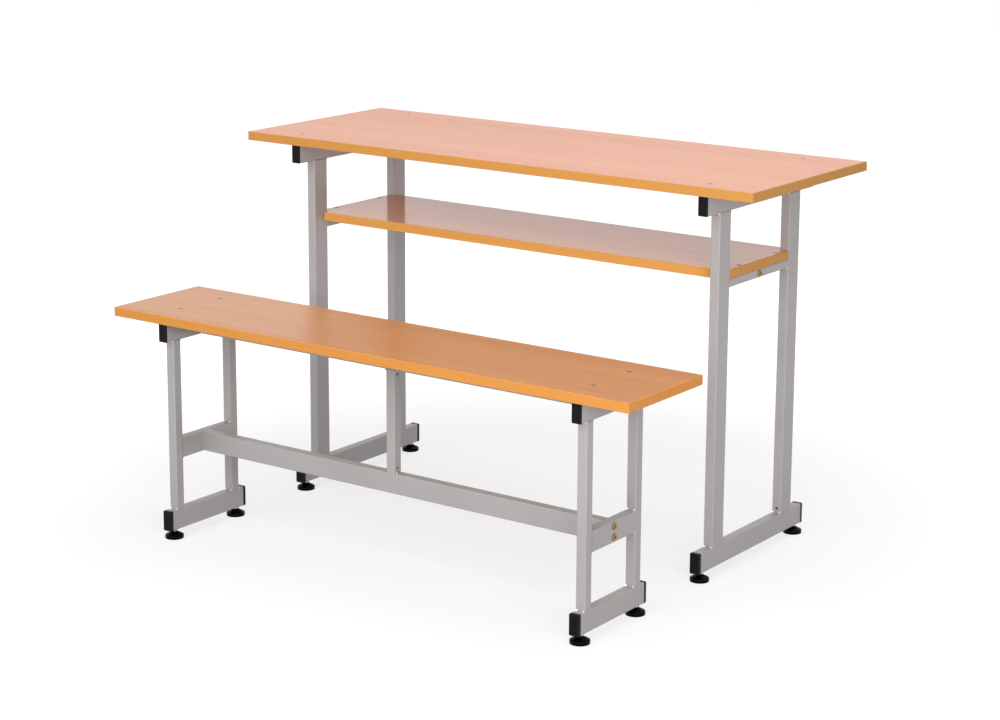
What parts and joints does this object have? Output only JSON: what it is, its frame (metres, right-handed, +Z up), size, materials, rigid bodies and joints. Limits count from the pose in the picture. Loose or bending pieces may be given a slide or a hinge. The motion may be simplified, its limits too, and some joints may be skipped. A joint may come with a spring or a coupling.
{
  "type": "school desk and bench",
  "caption": "School desk for pupils side by side with a book shelf, and a matching bench, on box-tube end frames with levelling feet.",
  "frame": {"origin": "on the floor, in the middle of the rectangle of ground that the desk and the bench cover", "axes": "+X along the desk, to the right as seen from the bench; +Y from the bench to the back of the desk; +Z up"},
  "size_m": [1.2, 0.84, 0.76],
  "materials": {
    "desk_top_board": "beech melamine, satin",
    "shelf_board": "beech melamine, satin",
    "seat_board": "beech melamine, satin",
    "edge_band": "PVC edge band, satin",
    "powder_coat": "silver-grey powder coat",
    "black_plastic": "moulded, fine matt",
    "zinc_plate": "zinc plated",
    "brass_plate": "yellow plated"
  },
  "bodies": {
    "desk": {"desk_top": "desk_top_board", "desk_top_edge_band": "edge_band", "desk_top_screws": "zinc_plate", "desk_shelf": "shelf_board", "desk_shelf_edge_band": "edge_band", "desk_shelf_screws": "zinc_plate", "desk_top_rail_left": "powder_coat", "desk_top_rail_right": "powder_coat", "desk_foot_rail_left": "powder_coat", "desk_foot_rail_right": "powder_coat", "desk_shelf_rail_left": "powder_coat", "desk_shelf_rail_right": "powder_coat", "desk_leg_front_left": "powder_coat", "desk_leg_rear_left": "powder_coat", "desk_leg_front_right": "powder_coat", "desk_leg_rear_right": "powder_coat", "desk_top_rail_caps": "black_plastic", "desk_foot_rail_caps": "black_plastic", "desk_shelf_beam": "powder_coat", "desk_beam_end_plates": "powder_coat", "desk_shelf_bolts": "brass_plate", "desk_foot_nuts": "zinc_plate"},
    "bench": {"bench_seat": "seat_board", "bench_seat_edge_band": "edge_band", "bench_seat_screws": "zinc_plate", "bench_top_rail_left": "powder_coat", "bench_top_rail_right": "powder_coat", "bench_foot_rail_left": "powder_coat", "bench_foot_rail_right": "powder_coat", "bench_cross_rail_left": "powder_coat", "bench_cross_rail_right": "powder_coat", "bench_leg_front_left": "powder_coat", "bench_leg_rear_left": "powder_coat", "bench_leg_front_right": "powder_coat", "bench_leg_rear_right": "powder_coat", "bench_top_rail_caps": "black_plastic", "bench_foot_rail_caps": "black_plastic", "bench_seat_beam": "powder_coat", "bench_stretcher": "powder_coat", "bench_centre_post": "powder_coat", "bench_stretcher_end_plates": "powder_coat", "bench_stretcher_bolts": "brass_plate", "bench_foot_nuts": "zinc_plate"},
    "desk_foot_front_left": {"desk_pad_front_left": "black_plastic"},
    "desk_screw_front_left": {"desk_stud_front_left": "zinc_plate"},
    "desk_foot_rear_left": {"desk_pad_rear_left": "black_plastic"},
    "desk_screw_rear_left": {"desk_stud_rear_left": "zinc_plate"},
    "desk_foot_front_right": {"desk_pad_front_right": "black_plastic"},
    "desk_screw_front_right": {"desk_stud_front_right": "zinc_plate"},
    "desk_foot_rear_right": {"desk_pad_rear_right": "black_plastic"},
    "desk_screw_rear_right": {"desk_stud_rear_right": "zinc_plate"},
    "bench_foot_front_left": {"bench_pad_front_left": "black_plastic"},
    "bench_screw_front_left": {"bench_stud_front_left": "zinc_plate"},
    "bench_foot_rear_left": {"bench_pad_rear_left": "black_plastic"},
    "bench_screw_rear_left": {"bench_stud_rear_left": "zinc_plate"},
    "bench_foot_front_right": {"bench_pad_front_right": "black_plastic"},
    "bench_screw_front_right": {"bench_stud_front_right": "zinc_plate"},
    "bench_foot_rear_right": {"bench_pad_rear_right": "black_plastic"},
    "bench_screw_rear_right": {"bench_stud_rear_right": "zinc_plate"}
  },
  "joints": [
    {"name": "bench_pull", "type": "slide", "parent": "desk", "child": "bench", "axis": [0, 1, 0], "range_m": [-0.3, 0.18]},
    {"name": "desk_level_front_left", "type": "slide", "parent": "desk", "child": "desk_foot_front_left", "axis": [0, 0, 1], "range_m": [-0.015, 0.001]},
    {"name": "desk_turn_front_left", "type": "hinge", "parent": "desk_foot_front_left", "child": "desk_screw_front_left", "pos_m": [-0.486, 0.017, 0.014], "axis": [0, 0, 1], "range_deg": [-4321, 289]},
    {"name": "desk_level_rear_left", "type": "slide", "parent": "desk", "child": "desk_foot_rear_left", "axis": [0, 0, 1], "range_m": [-0.015, 0.001]},
    {"name": "desk_turn_rear_left", "type": "hinge", "parent": "desk_foot_rear_left", "child": "desk_screw_rear_left", "pos_m": [-0.486, 0.377, 0.014], "axis": [0, 0, 1], "range_deg": [-4321, 289]},
    {"name": "desk_level_front_right", "type": "slide", "parent": "desk", "child": "desk_foot_front_right", "axis": [0, 0, 1], "range_m": [-0.015, 0.001]},
    {"name": "desk_turn_front_right", "type": "hinge", "parent": "desk_foot_front_right", "child": "desk_screw_front_right", "pos_m": [0.486, 0.017, 0.014], "axis": [0, 0, 1], "range_deg": [-4321, 289]},
    {"name": "desk_level_rear_right", "type": "slide", "parent": "desk", "child": "desk_foot_rear_right", "axis": [0, 0, 1], "range_m": [-0.015, 0.001]},
    {"name": "desk_turn_rear_right", "type": "hinge", "parent": "desk_foot_rear_right", "child": "desk_screw_rear_right", "pos_m": [0.486, 0.377, 0.014], "axis": [0, 0, 1], "range_deg": [-4321, 289]},
    {"name": "bench_level_front_left", "type": "slide", "parent": "bench", "child": "bench_foot_front_left", "axis": [0, 0, 1], "range_m": [-0.015, 0.001]},
    {"name": "bench_turn_front_left", "type": "hinge", "parent": "bench_foot_front_left", "child": "bench_screw_front_left", "pos_m": [-0.485, -0.386, 0.014], "axis": [0, 0, 1], "range_deg": [-4321, 289]},
    {"name": "bench_level_rear_left", "type": "slide", "parent": "bench", "child": "bench_foot_rear_left", "axis": [0, 0, 1], "range_m": [-0.015, 0.001]},
    {"name": "bench_turn_rear_left", "type": "hinge", "parent": "bench_foot_rear_left", "child": "bench_screw_rear_left", "pos_m": [-0.485, -0.206, 0.014], "axis": [0, 0, 1], "range_deg": [-4321, 289]},
    {"name": "bench_level_front_right", "type": "slide", "parent": "bench", "child": "bench_foot_front_right", "axis": [0, 0, 1], "range_m": [-0.015, 0.001]},
    {"name": "bench_turn_front_right", "type": "hinge", "parent": "bench_foot_front_right", "child": "bench_screw_front_right", "pos_m": [0.485, -0.386, 0.014], "axis": [0, 0, 1], "range_deg": [-4321, 289]},
    {"name": "bench_level_rear_right", "type": "slide", "parent": "bench", "child": "bench_foot_rear_right", "axis": [0, 0, 1], "range_m": [-0.015, 0.001]},
    {"name": "bench_turn_rear_right", "type": "hinge", "parent": "bench_foot_rear_right", "child": "bench_screw_rear_right", "pos_m": [0.485, -0.206, 0.014], "axis": [0, 0, 1], "range_deg": [-4321, 289]}
  ],
  "couplings": [
    {"joint": "desk_turn_front_left", "follows": "desk_level_front_left", "rad_per_m": 5026.5},
    {"joint": "desk_turn_rear_left", "follows": "desk_level_rear_left", "rad_per_m": 5026.5},
    {"joint": "desk_turn_front_right", "follows": "desk_level_front_right", "rad_per_m": 5026.5},
    {"joint": "desk_turn_rear_right", "follows": "desk_level_rear_right", "rad_per_m": 5026.5},
    {"joint": "bench_turn_front_left", "follows": "bench_level_front_left", "rad_per_m": 5026.5},
    {"joint": "bench_turn_rear_left", "follows": "bench_level_rear_left", "rad_per_m": 5026.5},
    {"joint": "bench_turn_front_right", "follows": "bench_level_front_right", "rad_per_m": 5026.5},
    {"joint": "bench_turn_rear_right", "follows": "bench_level_rear_right", "rad_per_m": 5026.5}
  ]
}
